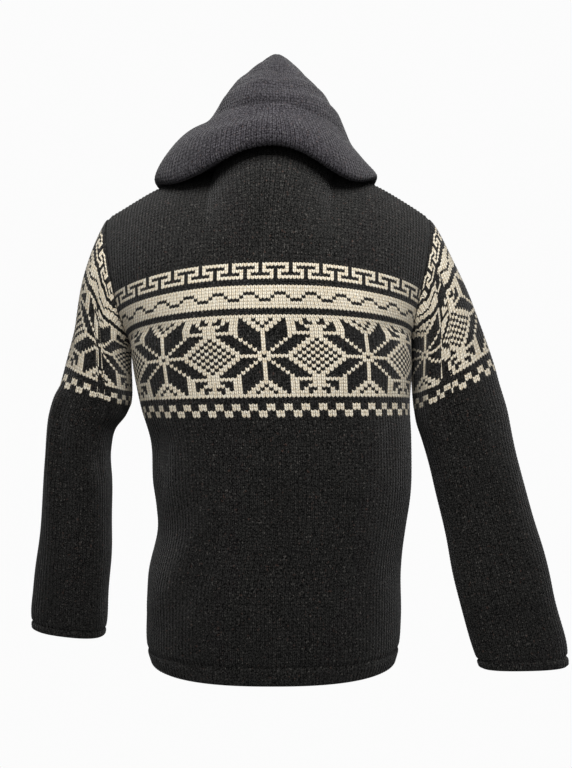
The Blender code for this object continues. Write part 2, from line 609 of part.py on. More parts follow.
def from_boxes(name, boxes, material, location, lean):
    """One solid from boxes, each of them added or cut away, turned by lean about X."""
    thing = bpy.data.objects.new(name, box_mesh(*boxes[0][1:]))
    hoodie.objects.link(thing)
    helpers = []
    for kind, low, high in boxes[1:]:
        helper = bpy.data.objects.new("helper", box_mesh(low, high))
        hoodie.objects.link(helper)
        cut = thing.modifiers.new("box", "BOOLEAN")
        cut.operation = kind
        cut.solver = "EXACT"
        cut.object = helper
        helpers.append(helper)
    bpy.context.view_layer.update()
    graph = bpy.context.evaluated_depsgraph_get()
    made = bpy.data.meshes.new_from_object(thing.evaluated_get(graph))
    thing.modifiers.clear()
    thing.data = made
    made.name = name
    made.materials.clear()
    made.materials.append(material)
    for helper in helpers:
        bpy.data.objects.remove(helper, do_unlink=True)
    thing.location = location
    thing.rotation_euler = (lean, 0, 0)
    return thing


tape_from = CHAIN_WIDTH / 2 + SEAM_GAP
for name, sign in (("zip_tape_left", 1), ("zip_tape_right", -1)):
    strip(name, tape_from, tape_from + TAPE_WIDTH, TAPE_BEHIND, TAPE_BEHIND + TAPE_THICKNESS, tape_cloth, None, sign)
middle = TAPE_BEHIND + TAPE_THICKNESS / 2
chain_top = SLIDER_HEIGHT + 0.002
chain_half = CHAIN_THICKNESS / 2
strip("zip_chain", -CHAIN_WIDTH / 2, CHAIN_WIDTH / 2, middle - chain_half, middle + chain_half, zip_metal, chain_top)

# The slider holds the chain between two plates, with a post above the chain and a bridge for the pull tab.
# Its boxes are in millimetres, with -Y out of the garment and Z up along the zip.
slider_at = on_zip(edge - zip_out * middle, SLIDER_HEIGHT)
slider_at[0] = 0
up_here = on_zip(zip_up, SLIDER_HEIGHT)
slope = math.atan2(-up_here[1], up_here[2])
w, tall = SLIDER_WIDTH * 500, SLIDER_LENGTH * 500
inside = CHAIN_THICKNESS * 500 + 0.35
face = inside + PLATE * 1000
reach = face + BRIDGE_HOLE[0] * 1000
hole = BRIDGE_HOLE[1] * 500
metal = BRIDGE_METAL * 1000
bw = BRIDGE_WIDTH * 500
slider_boxes = (
    ("", (-w, -face, -tall), (w, -inside, tall)),
    ("UNION", (-w, inside, -tall), (w, face, tall)),
    ("UNION", (-1.5, -inside - 0.5, 3.2), (1.5, inside + 0.5, tall - 0.4)),
    ("UNION", (-bw, -reach, BAR_UP - hole - metal), (bw, -face + 0.4, BAR_UP - hole)),
    ("UNION", (-bw, -reach, BAR_UP + hole), (bw, -face + 0.4, BAR_UP + hole + metal)),
    ("UNION", (-bw, -reach - metal, BAR_UP - hole - metal), (bw, -reach, BAR_UP + hole + metal)),
)
from_boxes("zip_slider", slider_boxes, zip_metal, slider_at, slope)

# The pull tab's own origin is on its hinge, in the middle of the bar that runs through the bridge
turned = np.array([0, math.cos(slope), math.sin(slope)])
rises_by = np.array([0, -math.sin(slope), math.cos(slope)])
hinge = slider_at - turned * (face + BRIDGE_HOLE[0] * 500) / 1000 + rises_by * BAR_UP / 1000
tw, bar = TAB_WIDTH * 500, TAB_THICKNESS * 500
tab_boxes = (
    ("", (-tw, -bar, bar - TAB_LENGTH * 1000), (tw, bar, bar)),
    ("DIFFERENCE", (-TAB_HOLE[0] * 500, -2, -bar - TAB_HOLE[1] * 1000), (TAB_HOLE[0] * 500, 2, -bar)),
)
from_boxes("zip_pull_tab", tab_boxes, zip_metal, hinge, slope - math.radians(TAB_LEAN))
print("hinge", [round(float(value), 5) for value in hinge], "slope", round(math.degrees(slope), 2))
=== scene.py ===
# %% [markdown]
# # A zip-up hoodie in chunky knitted wool
# This notebook-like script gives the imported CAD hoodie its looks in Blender. Each piece of cloth is made
# again from the same few formulas, but on a grid where every knitted stitch has its own faces. A chart then
# says which stitches are cream. You will meet numpy grids, closed meshes, attributes that carry a pattern, a
# wool material with bump, and soft studio light.

import math

import bpy
import numpy as np
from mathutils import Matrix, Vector


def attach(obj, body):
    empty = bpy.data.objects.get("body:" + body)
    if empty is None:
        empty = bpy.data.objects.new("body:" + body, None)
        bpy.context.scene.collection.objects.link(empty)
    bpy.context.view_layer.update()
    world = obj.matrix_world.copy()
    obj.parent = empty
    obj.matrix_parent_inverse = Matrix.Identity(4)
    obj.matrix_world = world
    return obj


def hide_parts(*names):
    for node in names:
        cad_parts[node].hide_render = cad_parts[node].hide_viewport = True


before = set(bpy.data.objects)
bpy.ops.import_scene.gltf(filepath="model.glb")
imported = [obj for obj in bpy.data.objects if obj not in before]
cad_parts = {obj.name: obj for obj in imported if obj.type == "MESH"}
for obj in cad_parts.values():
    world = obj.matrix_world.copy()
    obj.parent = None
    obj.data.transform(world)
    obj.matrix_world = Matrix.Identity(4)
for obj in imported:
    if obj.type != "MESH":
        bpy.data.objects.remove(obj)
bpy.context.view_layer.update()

# %% [markdown]
# ## Sizes
# All sizes are in metres. +Z is up, the front faces -Y and the wearer's left is +X. The tables hold a few
# rings of each piece, and a smooth cubic runs through each column.

# %% The garment's sizes
BAND_TOP = -0.151  # height of the first patterned row at the centre back
ARMPIT = -0.240  # height at the centre back of the row that meets the armpit
ZIP_OPENING = 0.009  # from the middle of the zip to the edge of a front panel

# The torso, from the hem to the top of the pattern. Widths and depths are from its middle line, and "droop"
# is how much lower a row is at the side than at the centre. "gape" is how far the armhole stands open on each
# side of the shoulder line, and "wrap" how far round the side the panel goes, in degrees. "square" is the
# ring's power, where 2 is an ellipse, and "shift" is how far it stands to the wearer's left.
TORSO_COLUMNS = ("height", "width", "back", "front", "gape", "wrap", "square", "droop", "shift")
TORSO = (
    (-0.7150, 0.1780, 0.1270, 0.118, 0.000, 90, 2.4, 0.004, 0.000),
    (-0.6900, 0.1840, 0.1280, 0.118, 0.000, 90, 2.5, 0.004, 0.000),
    (-0.6500, 0.1870, 0.1280, 0.119, 0.000, 90, 2.5, 0.003, -0.001),
    (-0.5900, 0.1865, 0.1260, 0.119, 0.000, 90, 2.5, 0.002, -0.001),
    (-0.5200, 0.1830, 0.1250, 0.118, 0.000, 90, 2.5, 0.001, -0.012),
    (-0.4550, 0.1910, 0.1300, 0.121, 0.000, 90, 2.5, 0.000, -0.013),
    (-0.3900, 0.1935, 0.1350, 0.126, 0.000, 90, 2.5, 0.000, -0.011),
    (-0.3400, 0.1990, 0.1380, 0.130, 0.000, 90, 2.5, 0.003, -0.004),
    (-0.2950, 0.2040, 0.1390, 0.132, 0.000, 90, 2.5, 0.009, 0.000),
    (-0.2400, 0.2080, 0.1395, 0.131, 0.000, 90, 2.5, 0.016, 0.004),
    (-0.2150, 0.2110, 0.1395, 0.129, 0.034, 78, 2.5, 0.020, 0.006),
    (-0.1850, 0.2160, 0.1390, 0.126, 0.053, 68, 2.4, 0.024, 0.008),
    (-0.1510, 0.2220, 0.1360, 0.122, 0.060, 60, 2.3, 0.028, 0.008),
)
DROOP_POWER = 2.2  # 1 is a straight fall to the side, and more keeps the middle level
BANDS_TILT = 0.012  # the pattern rises a little towards the wearer's right, as a slope
TILT_FROM = -0.45  # the slope comes in between these two heights
TILT_TO = -0.33

# Shoulders and neck
SHOULDER_TIP = (0.244, -0.004, -0.059)
SHOULDER_ROUND = 1.35  # 1 is a straight shoulder line
NECK_SHARE = 0.36  # the part of a half panel's width that ends at the neck
YOKE_RISE = 1.15  # how strongly the yoke goes on upwards before it turns over the shoulder
YOKE_SHARE = 0.7  # the part of an armhole's edge that is above the pattern

# The hood, as rings from the neck seam up to the sewn top. "left" and "right" are its half widths, "back" and
# "side" are places in Y, and the columns with "front" say where its face edge is. "arch" is how sharply a
# ring falls away from the centre back, and "sag" how far it hangs between back and side. "lean" moves a ring
# to the wearer's left, and "right_up" lifts the wearer's right side of it.
HOOD_COLUMNS = (
    "level", "left", "right", "back", "side", "front_x", "front_y",
    "z_back", "z_side", "z_front", "arch", "sag", "lean", "right_up",
)
HOOD = (
    (0.00, 0.088, 0.088, 0.075, 0.000, 0.009, -0.095, 0.030, 0.016, -0.075, 2.0, 0.000, 0.000, 0.000),
    (0.10, 0.128, 0.118, 0.101, 0.000, 0.040, -0.118, 0.026, 0.013, -0.060, 3.0, 0.008, 0.000, 0.003),
    (0.18, 0.168, 0.146, 0.119, 0.000, 0.090, -0.128, 0.013, -0.008, -0.042, 4.0, 0.020, 0.000, 0.008),
    (0.26, 0.180, 0.155, 0.128, 0.002, 0.120, -0.112, 0.024, -0.003, -0.016, 4.0, 0.020, 0.000, 0.007),
    (0.35, 0.168, 0.136, 0.127, 0.004, 0.126, -0.104, 0.044, 0.022, 0.010, 3.0, 0.008, 0.000, 0.003),
    (0.45, 0.138, 0.116, 0.115, 0.004, 0.108, -0.106, 0.063, 0.053, 0.035, 2.0, 0.000, 0.000, 0.000),
    (0.54, 0.104, 0.104, 0.110, 0.002, 0.090, -0.108, 0.082, 0.075, 0.058, 2.0, 0.000, 0.000, 0.000),
    (0.64, 0.085, 0.093, 0.102, 0.000, 0.074, -0.110, 0.102, 0.098, 0.080, 2.0, 0.000, 0.000, 0.000),
    (0.74, 0.073, 0.081, 0.090, -0.004, 0.058, -0.109, 0.122, 0.119, 0.100, 2.0, 0.000, 0.000, 0.000),
    (0.84, 0.061, 0.063, 0.076, -0.010, 0.042, -0.107, 0.142, 0.139, 0.117, 2.0, 0.000, -0.002, 0.000),
    (0.92, 0.046, 0.044, 0.062, -0.018, 0.026, -0.104, 0.158, 0.154, 0.128, 2.0, 0.000, -0.003, 0.000),
    (0.97, 0.026, 0.025, 0.054, -0.023, 0.012, -0.103, 0.168, 0.161, 0.134, 2.0, 0.000, -0.004, 0.000),
    (1.00, 0.000, 0.000, 0.050, -0.026, 0.000, -0.102, 0.171, 0.163, 0.136, 2.0, 0.000, -0.005, 0.000),
)
HOOD_TURN = 132  # degrees round from the centre back to the face edge

# The sleeves below the pattern, from rails seen from behind. "row" counts knitted rows from the top of the
# pattern, the outer and inner rails are the two sides, "depth" is the half depth and "middle" its place in Y.
SLEEVE_COLUMNS = ("row", "outer_x", "outer_z", "inner_x", "inner_z", "depth", "middle")
SLEEVE_LEFT = (
    (47, 0.3185, -0.3122, 0.2219, -0.3411, 0.058, 0.000),
    (52, 0.3276, -0.3297, 0.2304, -0.3591, 0.055, -0.002),
    (58, 0.3337, -0.3534, 0.2455, -0.3791, 0.052, -0.005),
    (66, 0.3398, -0.3863, 0.2520, -0.4106, 0.049, -0.009),
    (78, 0.3486, -0.4357, 0.2520, -0.4593, 0.046, -0.015),
    (92, 0.3550, -0.4948, 0.2545, -0.5168, 0.043, -0.022),
    (108, 0.3634, -0.5630, 0.2573, -0.5833, 0.039, -0.030),
    (122, 0.3720, -0.6235, 0.2614, -0.6423, 0.035, -0.037),
    (131, 0.3775, -0.6627, 0.2639, -0.6806, 0.032, -0.041),
    (139, 0.3765, -0.6910, 0.2690, -0.7055, 0.030, -0.045),
)
SLEEVE_RIGHT = (
    (47, 0.3320, -0.2881, 0.2139, -0.3471, 0.056, 0.005),
    (52, 0.3384, -0.3125, 0.2173, -0.3690, 0.052, 0.007),
    (58, 0.3456, -0.3418, 0.2250, -0.3939, 0.047, 0.010),
    (66, 0.3528, -0.3812, 0.2340, -0.4277, 0.042, 0.013),
    (78, 0.3660, -0.4395, 0.2450, -0.4784, 0.036, 0.018),
    (92, 0.3822, -0.5057, 0.2555, -0.5377, 0.030, 0.025),
    (108, 0.4005, -0.5809, 0.2680, -0.6045, 0.026, 0.032),
    (122, 0.4142, -0.6464, 0.2815, -0.6611, 0.023, 0.038),
    (131, 0.4230, -0.6877, 0.2910, -0.6970, 0.021, 0.042),
    (139, 0.4225, -0.7170, 0.2990, -0.7210, 0.020, 0.045),
)
SLEEVE_FLATNESS = 2.4  # 2 is an ellipse
# How much steeper a sleeve's cap leaves the armhole at its top than at its sides
SPREAD = {"sleeve_left": 0.20, "sleeve_right": 0.04}

# The largest folds of the back, each as x and z where it starts, x and z where it ends, its height and its
# breadth. A height below 0 is a trough.
BACK_FOLDS = (
    (0.150, -0.385, 0.160, -0.475, -0.0045, 0.012),
    (0.078, -0.480, 0.148, -0.595, 0.0045, 0.020),
    (0.148, -0.595, 0.165, -0.640, 0.0030, 0.016),
    (-0.120, -0.500, -0.150, -0.620, 0.0030, 0.022),
)
# The largest folds of the sleeves, each as row and degrees where it starts, row and degrees where it ends,
# its height and its breadth in degrees. Degrees go round from the outer side over the back.
LEFT_FOLDS = (
    (50, 42, 96, 62, 0.0050, 14),
    (54, 66, 88, 88, -0.0040, 14),
    (8, 96, 58, 118, -0.0050, 14),
    (112, 60, 121, 120, 0.0025, 12),
)
RIGHT_FOLDS = (
    (4, 92, 60, 118, -0.0080, 14),
    (14, 122, 66, 140, 0.0050, 14),
    (114, 30, 117, 150, 0.0030, 12),
    (66, 100, 104, 84, -0.0035, 14),
)
# Folds across the back of the hood, in the same way, by degrees from the centre back and then level
HOOD_FOLDS = (
    (55, 0.50, -60, 0.44, -0.0070, 6),
    (50, 0.60, 5, 0.66, 0.0050, 6),
    (40, 0.82, -50, 0.78, -0.0050, 6),
)
print("rings:", len(TORSO), "for the torso,", len(HOOD), "for the hood,", len(SLEEVE_LEFT), "for each sleeve")

# %% [markdown]
# ## Surfaces
# Every function takes whole arrays and gives back whole arrays of points. A cubic Hermite curve joins two
# places with a chosen direction at each end. That is how the yoke comes over the shoulder and the sleeve out
# of its hole.

# %% Surface formulas
# Curves through a table
def smooth_column(positions, values, at):
    """A cubic through the values, whose slope at each is that between its neighbours."""
    x = np.asarray(positions, float)
    y = np.asarray(values, float)
    slope = np.gradient(y, x)
    at = np.clip(np.asarray(at, float), x[0], x[-1])
    i = np.clip(np.searchsorted(x, at, side="right") - 1, 0, len(x) - 2)
    span = x[i + 1] - x[i]
    t = (at - x[i]) / span
    start = (1 + 2 * t) * (1 - t) ** 2 * y[i] + t * (1 - t) ** 2 * span * slope[i]
    return start + t**2 * (3 - 2 * t) * y[i + 1] + t**2 * (t - 1) * span * slope[i + 1]


def table_at(table, columns, at):
    """Each column of a table, read at the given values of its first one."""
    rows = np.array(table, float)
    return {name: smooth_column(rows[:, 0], rows[:, i], at) for i, name in enumerate(columns)}


def smoothstep(low, high, x):
    """0 up to low, 1 from high on, and an even S between them."""
    t = np.clip((x - low) / (high - low), 0, 1)
    return t * t * (3 - 2 * t)


def between(start, leave, end, arrive, t):
    """A cubic from start to end that sets out along leave and comes in along arrive."""
    t = t[..., None]
    a = (1 + 2 * t) * (1 - t) ** 2 * start + t * (1 - t) ** 2 * leave
    return a + t**2 * (3 - 2 * t) * end + t**2 * (t - 1) * arrive


# The body panels
def panel_low(side, across, height):
    """Points of a panel up to the top of the pattern, as a grid with a row for each height.

    across is 0 at the centre and 1 or -1 at a side edge, and side is 1 for the back and -1 for the front."""
    row = table_at(TORSO, TORSO_COLUMNS, height)
    row["gape"] = np.maximum(row["gape"], 0)
    row["wrap"] = np.minimum(row["wrap"], 90)
    depth = row["back"] if side > 0 else row["front"]
    points = np.zeros((len(height), across.shape[-1], 3))
    for i, level in enumerate(height):
        turn = math.radians(row["wrap"][i])
        power = 2 / row["square"][i]
        angle = np.linspace(0, 1, 500) * turn
        x = np.sin(angle) ** power / math.sin(turn) ** power
        y = np.abs(np.cos(angle)) ** power
        y = (y - y[-1]) / (1 - y[-1])
        x = x * row["width"][i]
        y = row["gape"][i] + (depth[i] - row["gape"][i]) * y
        length = np.concatenate([[0], np.cumsum(np.hypot(np.diff(x), np.diff(y)))])
        share = np.abs(across[i]) * length[-1]
        points[i, :, 0] = np.interp(share, length, x) * np.sign(across[i])
        points[i, :, 1] = np.interp(share, length, y) * side
        points[i, :, 2] = level - row["droop"][i] * np.abs(across[i]) ** DROOP_POWER
    shift = row["shift"][:, None]
    if side < 0:
        opening = ZIP_OPENING * np.where(across >= 0, 1, -1)
        points[..., 0] = opening + points[..., 0] * (1 - ZIP_OPENING / row["width"][:, None])
        shift = shift * np.abs(across)
    points[..., 0] += shift
    tilted = smoothstep(TILT_FROM, TILT_TO, np.asarray(height))
    points[..., 2] -= BANDS_TILT * points[..., 0] * tilted[:, None]
    return points


def panel_top(side, across):
    """The panel's upper edge: the neck in the middle and a shoulder seam on each side."""
    size = np.abs(across)
    part = np.minimum(size / NECK_SHARE, 1)
    turn = 90 * part if side > 0 else 90 + (HOOD_TURN - 90) * (1 - part)
    neck = hood_ring(turn, np.zeros(turn.shape))
    corner = hood_ring(np.array([90.0]), np.array([0.0]))[0]
    share = np.clip((size - NECK_SHARE) / (1 - NECK_SHARE), 0, 1)
    power = np.stack([share, share, share**SHOULDER_ROUND], axis=-1)
    shoulder = corner + (np.array(SHOULDER_TIP) - corner) * power
    point = np.where((size < NECK_SHARE)[..., None], neck, shoulder)
    point[..., 0] *= np.where(across < 0, -1, 1)
    point[..., 0] += TORSO[-1][-1] * share
    return point


def panel(side, across, rise):
    """A body panel, as a grid.

    rise goes from 0 at the hem to 1 at the top of the pattern and 2 at the shoulders and neck, and across
    from -1 to 1 with the wearer's left as 1."""
    across = np.broadcast_to(across, (len(rise), across.shape[-1]))
    hem = TORSO[0][0]
    low = panel_low(side, across, hem + (BAND_TOP - hem) * np.minimum(rise, 1))
    step = 0.004  # down from the top of the pattern, to find which way the cloth runs there
    start = panel_low(side, across[:1], np.array([BAND_TOP]))
    below = panel_low(side, across[:1], np.array([BAND_TOP - step]))
    end = panel_top(side, across[:1])
    length = np.linalg.norm(end - start, axis=-1, keepdims=True)
    leave = (start - below) / step * length * YOKE_RISE
    # It comes in level at the shoulder and rising at the neck
    over = smoothstep(0.1, 0.75, np.abs(across[:1]))[..., None]
    arrive = np.concatenate([0 * over, -side * (0.80 + 0.15 * over), 0.65 * (1 - over)], axis=-1) * length
    t = np.clip(np.asarray(rise) - 1, 0, 1)[:, None] + 0 * across
    yoke = between(start, leave, end, arrive, t)
    return np.where((np.asarray(rise) > 1)[:, None, None], yoke, low)


def armhole_rise(share):
    """The rise on a panel's edge at a share of the way down from the shoulder tip to the armpit."""
    hem = TORSO[0][0]
    armpit = (ARMPIT - hem) / (BAND_TOP - hem)
    share = np.asarray(share, float)
    above = 2 - share / YOKE_SHARE
    below = 1 - (1 - armpit) * (share - YOKE_SHARE) / (1 - YOKE_SHARE)
    return np.where(share < YOKE_SHARE, above, below)


# The hood
def hood_ring(angle, level):
    """Points of the hood at an angle from the centre back, in degrees, positive on the wearer's left."""
    angle, level = np.broadcast_arrays(np.asarray(angle, float), np.asarray(level, float))
    ring = table_at(HOOD, HOOD_COLUMNS, level)
    width = np.where(angle >= 0, ring["left"], ring["right"])
    size = np.abs(angle)
    turn = np.radians(np.minimum(size, 90))
    x = width * np.sin(turn)
    y = ring["side"] + (ring["back"] - ring["side"]) * np.cos(turn)
    z = ring["z_side"] + (ring["z_back"] - ring["z_side"]) * np.cos(turn) ** ring["arch"]
    z = z - ring["sag"] * np.sin(2 * turn) ** 2
    t = np.clip((size - 90) / (HOOD_TURN - 90), 0, 1)
    on = np.radians(90 * t)
    x = np.where(t > 0, width + (ring["front_x"] - width) * (1 - np.cos(on)), x)
    y = np.where(t > 0, ring["side"] + (ring["front_y"] - ring["side"]) * np.sin(on), y)
    z = np.where(t > 0, ring["z_side"] + (ring["z_front"] - ring["z_side"]) * (0.2 * t + 0.8 * t**2), z)
    z = z + np.where(angle < 0, ring["right_up"], 0) * smoothstep(30, 90, size)
    return np.stack([np.where(angle >= 0, x, -x) + ring["lean"], y, z], axis=-1)


# The sleeves, worked out as left ones and mirrored for the right
def sleeve_section(table, angle, row):
    """Points of a sleeve below its cap, at degrees round from the outer side over the back."""
    angle, row = np.broadcast_arrays(np.asarray(angle, float), np.asarray(row, float))
    at = table_at(table, SLEEVE_COLUMNS, row)
    outer = np.stack([at["outer_x"], at["middle"], at["outer_z"]], axis=-1)
    inner = np.stack([at["inner_x"], at["middle"], at["inner_z"]], axis=-1)
    turn = np.radians(angle)
    along = np.sign(np.cos(turn)) * np.abs(np.cos(turn)) ** (2 / SLEEVE_FLATNESS)
    deep = np.sign(np.sin(turn)) * np.abs(np.sin(turn)) ** (2 / SLEEVE_FLATNESS)
    point = (outer + inner) / 2 + (outer - inner) / 2 * along[..., None]
    point[..., 1] += at["depth"] * deep
    return point


def sleeve(table, spread, hole, angle, share):
    """A sleeve's points, where a share is 0 at the armhole, 1 at the pattern's foot and 2 at the cuff.

    Above the foot it is the cubic between() from the armhole to the foot ring, and below sleeve_section()."""
    foot, last = table[0][0], table[-1][0]
    low = sleeve_section(table, angle, foot + (last - foot) * np.clip(share - 1, 0, 1))
    end = sleeve_section(table, angle, float(foot))
    below = sleeve_section(table, angle, foot + 1.0)
    length = np.linalg.norm(end - hole, axis=-1, keepdims=True)
    turn = np.radians(angle)
    up = np.cos(turn)
    leave = np.stack([0.64 - spread * up, 0.42 * np.sin(turn), -0.66 - 0.20 * np.maximum(up, 0)], axis=-1)
    leave = leave / np.linalg.norm(leave, axis=-1, keepdims=True) * length * 0.7
    arrive = (below - end) / np.linalg.norm(below - end, axis=-1, keepdims=True) + 2 * (end - hole) / length
    arrive[..., 2] -= 6 * spread * np.maximum(up, 0)
    arrive = arrive / np.linalg.norm(arrive, axis=-1, keepdims=True) * length
    cap = between(hole, leave, end, arrive, np.clip(share, 0, 1))
    return np.where((share > 1)[..., None], low, cap)


# Folds
def near_line(u, v, line, breadth):
    """1 on the line between two places and 0 far from it, easing off past its ends."""
    u0, v0, u1, v1 = line
    du, dv = u1 - u0, v1 - v0
    t = ((u - u0) * du + (v - v0) * dv) / (du * du + dv * dv)
    distance = np.hypot(u - u0 - t * du, v - v0 - t * dv)
    ends = smoothstep(-0.3, 0.2, t) * (1 - smoothstep(0.8, 1.3, t))
    return np.exp(-((distance / breadth) ** 2)) * ends


def relief(folds, u, v, v_scale=1.0):
    """The height of all the folds at (u, v). v_scale is how many of u one unit of v counts for."""
    total = np.zeros(np.shape(u))
    for u0, v0, u1, v1, height, breadth in folds:
        total = total + height * near_line(u, v * v_scale, (u0, v0 * v_scale, u1, v1 * v_scale), breadth)
    return total


print("shoulder tips at", np.round(panel_top(1, np.array([-1.0, 1.0])), 3).tolist())

# %% [markdown]
# ## The knitting chart
# The pattern has 47 rows and repeats every 24 stitches. Most of it follows rules, such as "a lattice where
# the distances add up to an odd number", so the chart is worked out and not drawn. 1 is cream and 0 is
# charcoal.

# %% The chart
REPEAT = 24
BAND_ROWS = 47
MEANDER = ("XXXXXXX.", "X.....X.", "XXX.XXX.", "..X.X...", "XXX.XXXX")
WAVE = ("XXXXXXXX", "XXXXXXXX", "XXXX...X", "XXX.XXX.", "...XXXXX", "XXXXXXXX", "XXXXXXXX")


def chart_rows(lines, shift):
    """Rows of a chart from lines of text, repeated to 24 stitches and moved along by a number of stitches."""
    cells = np.array([[mark == "X" for mark in line] for line in lines], float)
    return cells[:, (np.arange(REPEAT) + shift) % cells.shape[1]]


def star_rows():
    """The star band, which has one row more than its repeat.

    a is the distance from a star's spine, b from its middle row and p from the middle of the lattice."""
    half = REPEAT // 2
    wale = np.arange(REPEAT)
    a = np.minimum(wale, REPEAT - wale)[None, :]
    b = np.abs(np.arange(REPEAT + 1) - half)[:, None]
    p = half - a
    dark = (a + b == 0) | ((b == a + 9) & (a <= 2))
    dark |= (a >= 1) & (a <= 5) & (b >= a + 1) & (b <= a + 6)
    dark |= (b >= 1) & (b <= 6) & (a >= b + 1) & (a <= b + 4)
    dark |= (p + b <= 5) & ((p + b) % 2 == 1)
    dark |= ((b == 11) & (p == 2)) | ((b == 10) & ((p == 1) | (p == 2) | (p == 4)))
    dark |= ((b == 9) & ((p == 3) | (p == 4))) | ((b == 8) & (p >= 2) & (p <= 4))
    return 1.0 - dark


CHART = np.zeros((BAND_ROWS, REPEAT))
CHART[0:5] = chart_rows(MEANDER, 7)
CHART[7:14] = chart_rows(WAVE, 0)
CHART[16:41] = star_rows()
CHART[43:45] = np.arange(REPEAT) % 4 < 2
CHART[45:47] = np.arange(REPEAT) % 4 >= 2


def yarn_of(rows, wales):
    """1 where the stitch is cream, for arrays of row numbers and of wales counted from a star's spine."""
    inside = (rows >= 0) & (rows < BAND_ROWS)
    found = CHART[np.clip(rows, 0, BAND_ROWS - 1)[:, None], wales[None, :] % REPEAT]
    return found * inside[:, None]


print("cream stitches in one repeat", int(CHART.sum()), "of", CHART.size)

# %% [markdown]
# ## Stitches
# On the right side of this knit, each stitch is a V. A grid with two columns to a stitch makes the V when
# every second column is pushed down by nearly half a row. The same columns stand a little proud, so that the
# wales are ridges with grooves between them.
#
# A piece is a closed shell: the outer grid with 2 by 2 faces a stitch, an inner one with a single face, and a
# rim of five-sided faces round the edges.

# %% Grids into shells
V_DEPTH = 0.45  # of a row
WALE_RISE = 0.0012  # of a wale's middle above the grooves beside it
ROW_RISE = 0.0003  # of every second fine row, which gives each stitch its own bump
SEAM_DIP = 0.0009  # how far the cloth is drawn in along a seam
SEAM_REACH = 1.2  # stitches from the seam that are drawn in with it
CLOTH = 0.0035  # the cloth's thickness under the stitches
FAR = 99.0  # stitches to the nearer side edge of a tube, which has none


def outward(points, sign, tube=False, join=False):
    """Unit normals of a grid: the cross product of the differences along it and down it."""
    if tube:
        wide = np.concatenate([points[:, -1:], points, points[:, :1]], axis=1)
        along = wide[:, 2:] - wide[:, :-2]
    else:
        along = np.gradient(points, axis=1)
    down = np.gradient(points, axis=0)
    if join:
        along[-1] = along[-2]
    normal = np.cross(along, down) * sign
    return normal / np.maximum(np.linalg.norm(normal, axis=-1, keepdims=True), 1e-12)


def distance_in(count, tube=False):
    """How many stitches each fine column or row is from the nearer end."""
    if tube:
        return np.full(count, FAR)
    steps = np.arange(count) / 2
    return np.minimum(steps, steps[-1] - steps)


def grid_faces(index, uv, values):
    """Faces of a grid of vertex numbers, where some numbers may be repeated.

    Gives (quads, triangles), their corners' places in uv, and each face's value."""
    corners = [np.s_[:-1, :-1], np.s_[:-1, 1:], np.s_[1:, 1:], np.s_[1:, :-1]]
    quads = np.stack([index[c] for c in corners], axis=-1).reshape(-1, 4)
    places = np.stack([uv[c] for c in corners], axis=-2).reshape(-1, 4, 2)
    values = values.reshape(-1)
    same = quads == np.roll(quads, -1, axis=1)
    whole = same.sum(axis=1) == 0
    faces = [(quads[whole], places[whole], values[whole])]
    for k in range(4):
        pick = same[:, k] & (same.sum(axis=1) == 1)
        faces.append((np.delete(quads[pick], k, axis=1), np.delete(places[pick], k, axis=1), values[pick]))
    return faces


def fine_and_coarse(shape, tube, join, first_rows):
    """Vertex numbers of the outer grid, where a trimmed column repeats its first vertex above its start."""
    rows, columns = shape
    index = np.arange(rows * columns).reshape(rows, columns)
    if first_rows is not None:
        level = np.maximum(np.arange(rows)[:, None], first_rows[None, :])
        index = level * columns + np.arange(columns)[None, :]
    if join:
        half = columns // 2
        index[-1, half + 1 :] = index[-1, half - 1 :: -1]
    if tube:
        index = np.concatenate([index, index[:, :1]], axis=1)
    return index


